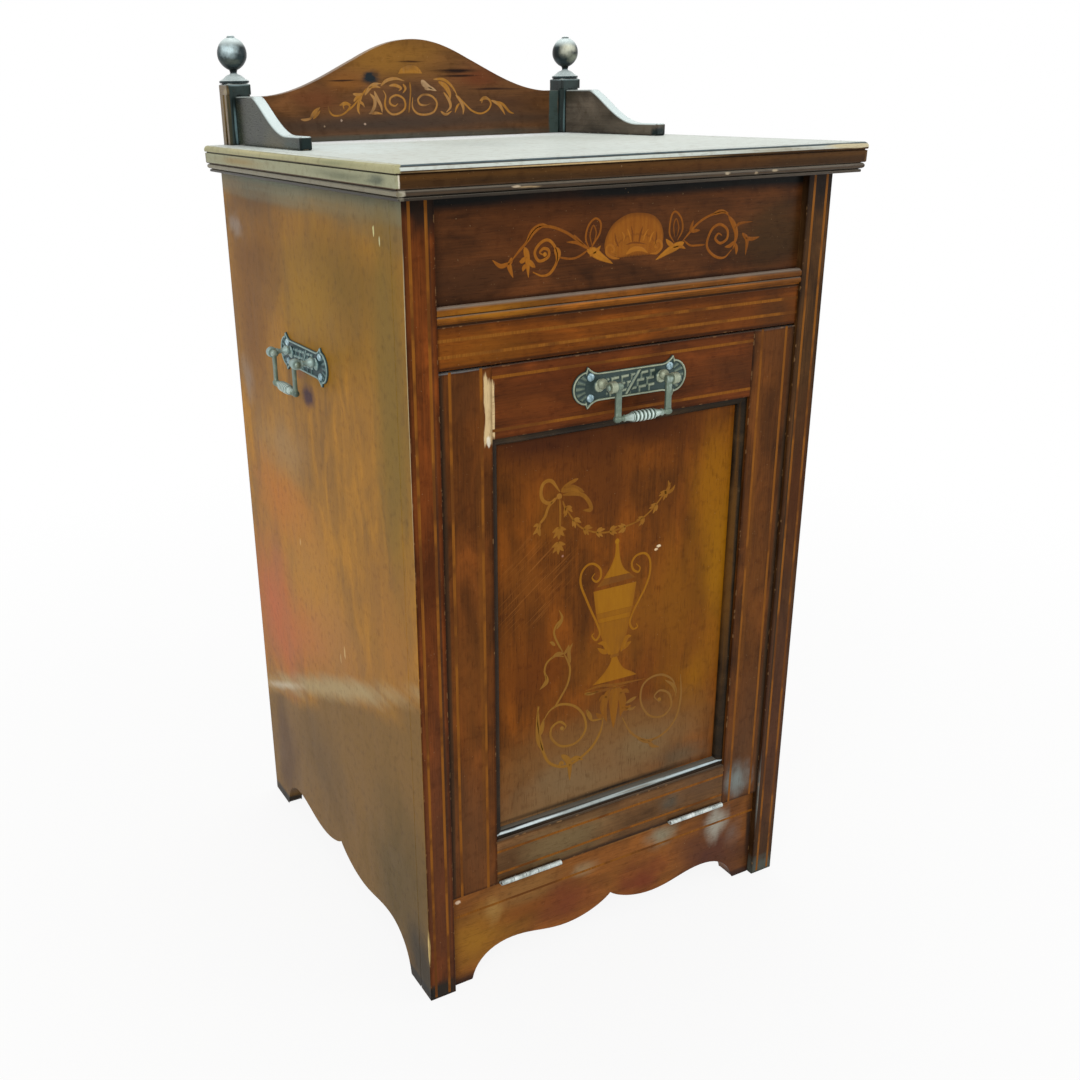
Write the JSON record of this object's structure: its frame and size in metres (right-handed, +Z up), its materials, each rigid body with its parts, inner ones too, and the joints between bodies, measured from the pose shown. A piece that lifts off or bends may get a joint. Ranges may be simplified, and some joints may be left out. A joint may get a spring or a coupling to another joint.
{
  "type": "coal scuttle",
  "caption": "Edwardian inlaid mahogany coal cabinet with a fall-front door that tips out a sheet metal coal liner, and hanging brass handles.",
  "frame": {"origin": "on the floor plane, midway between the front and back edges and the side edges of the overall box", "axes": "+Z up, -Y out of the front door, +X to the right seen from the front"},
  "size_m": [0.4036, 0.389, 0.7367],
  "materials": {
    "mahogany": "french polished, faded and worn",
    "dark_mahogany": "french polished, dark red-brown",
    "ebonised_wood": "dark polished",
    "deal": "unfinished softwood",
    "boxwood": "inlaid and polished",
    "old_brass": "antique, dulled",
    "sheet_iron": "black japanned sheet iron, coal-worn"
  },
  "bodies": {
    "carcass": {"side_panel_left": "mahogany", "side_panel_right": "mahogany", "front_stile_left": "mahogany", "front_stile_right": "mahogany", "back_panel": "deal", "bottom_board": "deal", "bottom_bearers": "deal", "glue_blocks": "deal", "top_board": "mahogany", "top_moulding": "mahogany", "top_cleats": "deal", "frieze_board": "dark_mahogany", "frieze_bead": "mahogany", "head_rail": "mahogany", "apron": "mahogany", "gallery_board": "mahogany", "gallery_post_left": "ebonised_wood", "gallery_post_right": "ebonised_wood", "finial_left": "ebonised_wood", "finial_right": "ebonised_wood", "gallery_bracket_left": "ebonised_wood", "gallery_bracket_right": "ebonised_wood", "door_stops": "deal", "carcass_stringing": "boxwood", "frieze_marquetry": "boxwood", "gallery_marquetry": "boxwood", "hinge_leaves_carcass": "old_brass", "hinge_pins": "old_brass", "hinge_screws_carcass": "old_brass", "side_handle_plate_left": "old_brass", "side_handle_plate_right": "old_brass", "side_handle_screws": "old_brass"},
    "fall_front": {"door_stile_left": "dark_mahogany", "door_stile_right": "dark_mahogany", "door_rail_top": "dark_mahogany", "door_rail_bottom": "dark_mahogany", "door_panel": "mahogany", "panel_moulding": "dark_mahogany", "door_stringing": "boxwood", "panel_marquetry_urn": "boxwood", "panel_marquetry_swag": "boxwood", "panel_marquetry_scrolls": "boxwood", "hinge_leaves_door": "old_brass", "hinge_screws_door": "old_brass", "door_handle_plate": "old_brass", "door_handle_screws": "old_brass", "carriage_cheek_left": "deal", "carriage_cheek_right": "deal", "carriage_base": "deal", "liner": "sheet_iron", "liner_rivets": "sheet_iron"},
    "front_handle": {"door_handle_bail": "old_brass"},
    "left_handle": {"side_handle_bail_left": "old_brass"},
    "right_handle": {"side_handle_bail_right": "old_brass"}
  },
  "joints": [
    {"name": "door_fall", "type": "hinge", "parent": "carcass", "child": "fall_front", "pos_m": [0, -0.17495, 0.092], "axis": [1, 0, 0], "range_deg": [0, 48]},
    {"name": "front_bail_swing", "type": "hinge", "parent": "fall_front", "child": "front_handle", "pos_m": [0, -0.18945, 0.4935], "axis": [-1, 0, 0], "range_deg": [-24, 170]},
    {"name": "left_bail_swing", "type": "hinge", "parent": "carcass", "child": "left_handle", "pos_m": [-0.1975, 0.01655, 0.4975], "axis": [0, 1, 0], "range_deg": [-24, 170]},
    {"name": "right_bail_swing", "type": "hinge", "parent": "carcass", "child": "right_handle", "pos_m": [0.1975, 0.01655, 0.4975], "axis": [0, -1, 0], "range_deg": [-24, 170]}
  ]
}
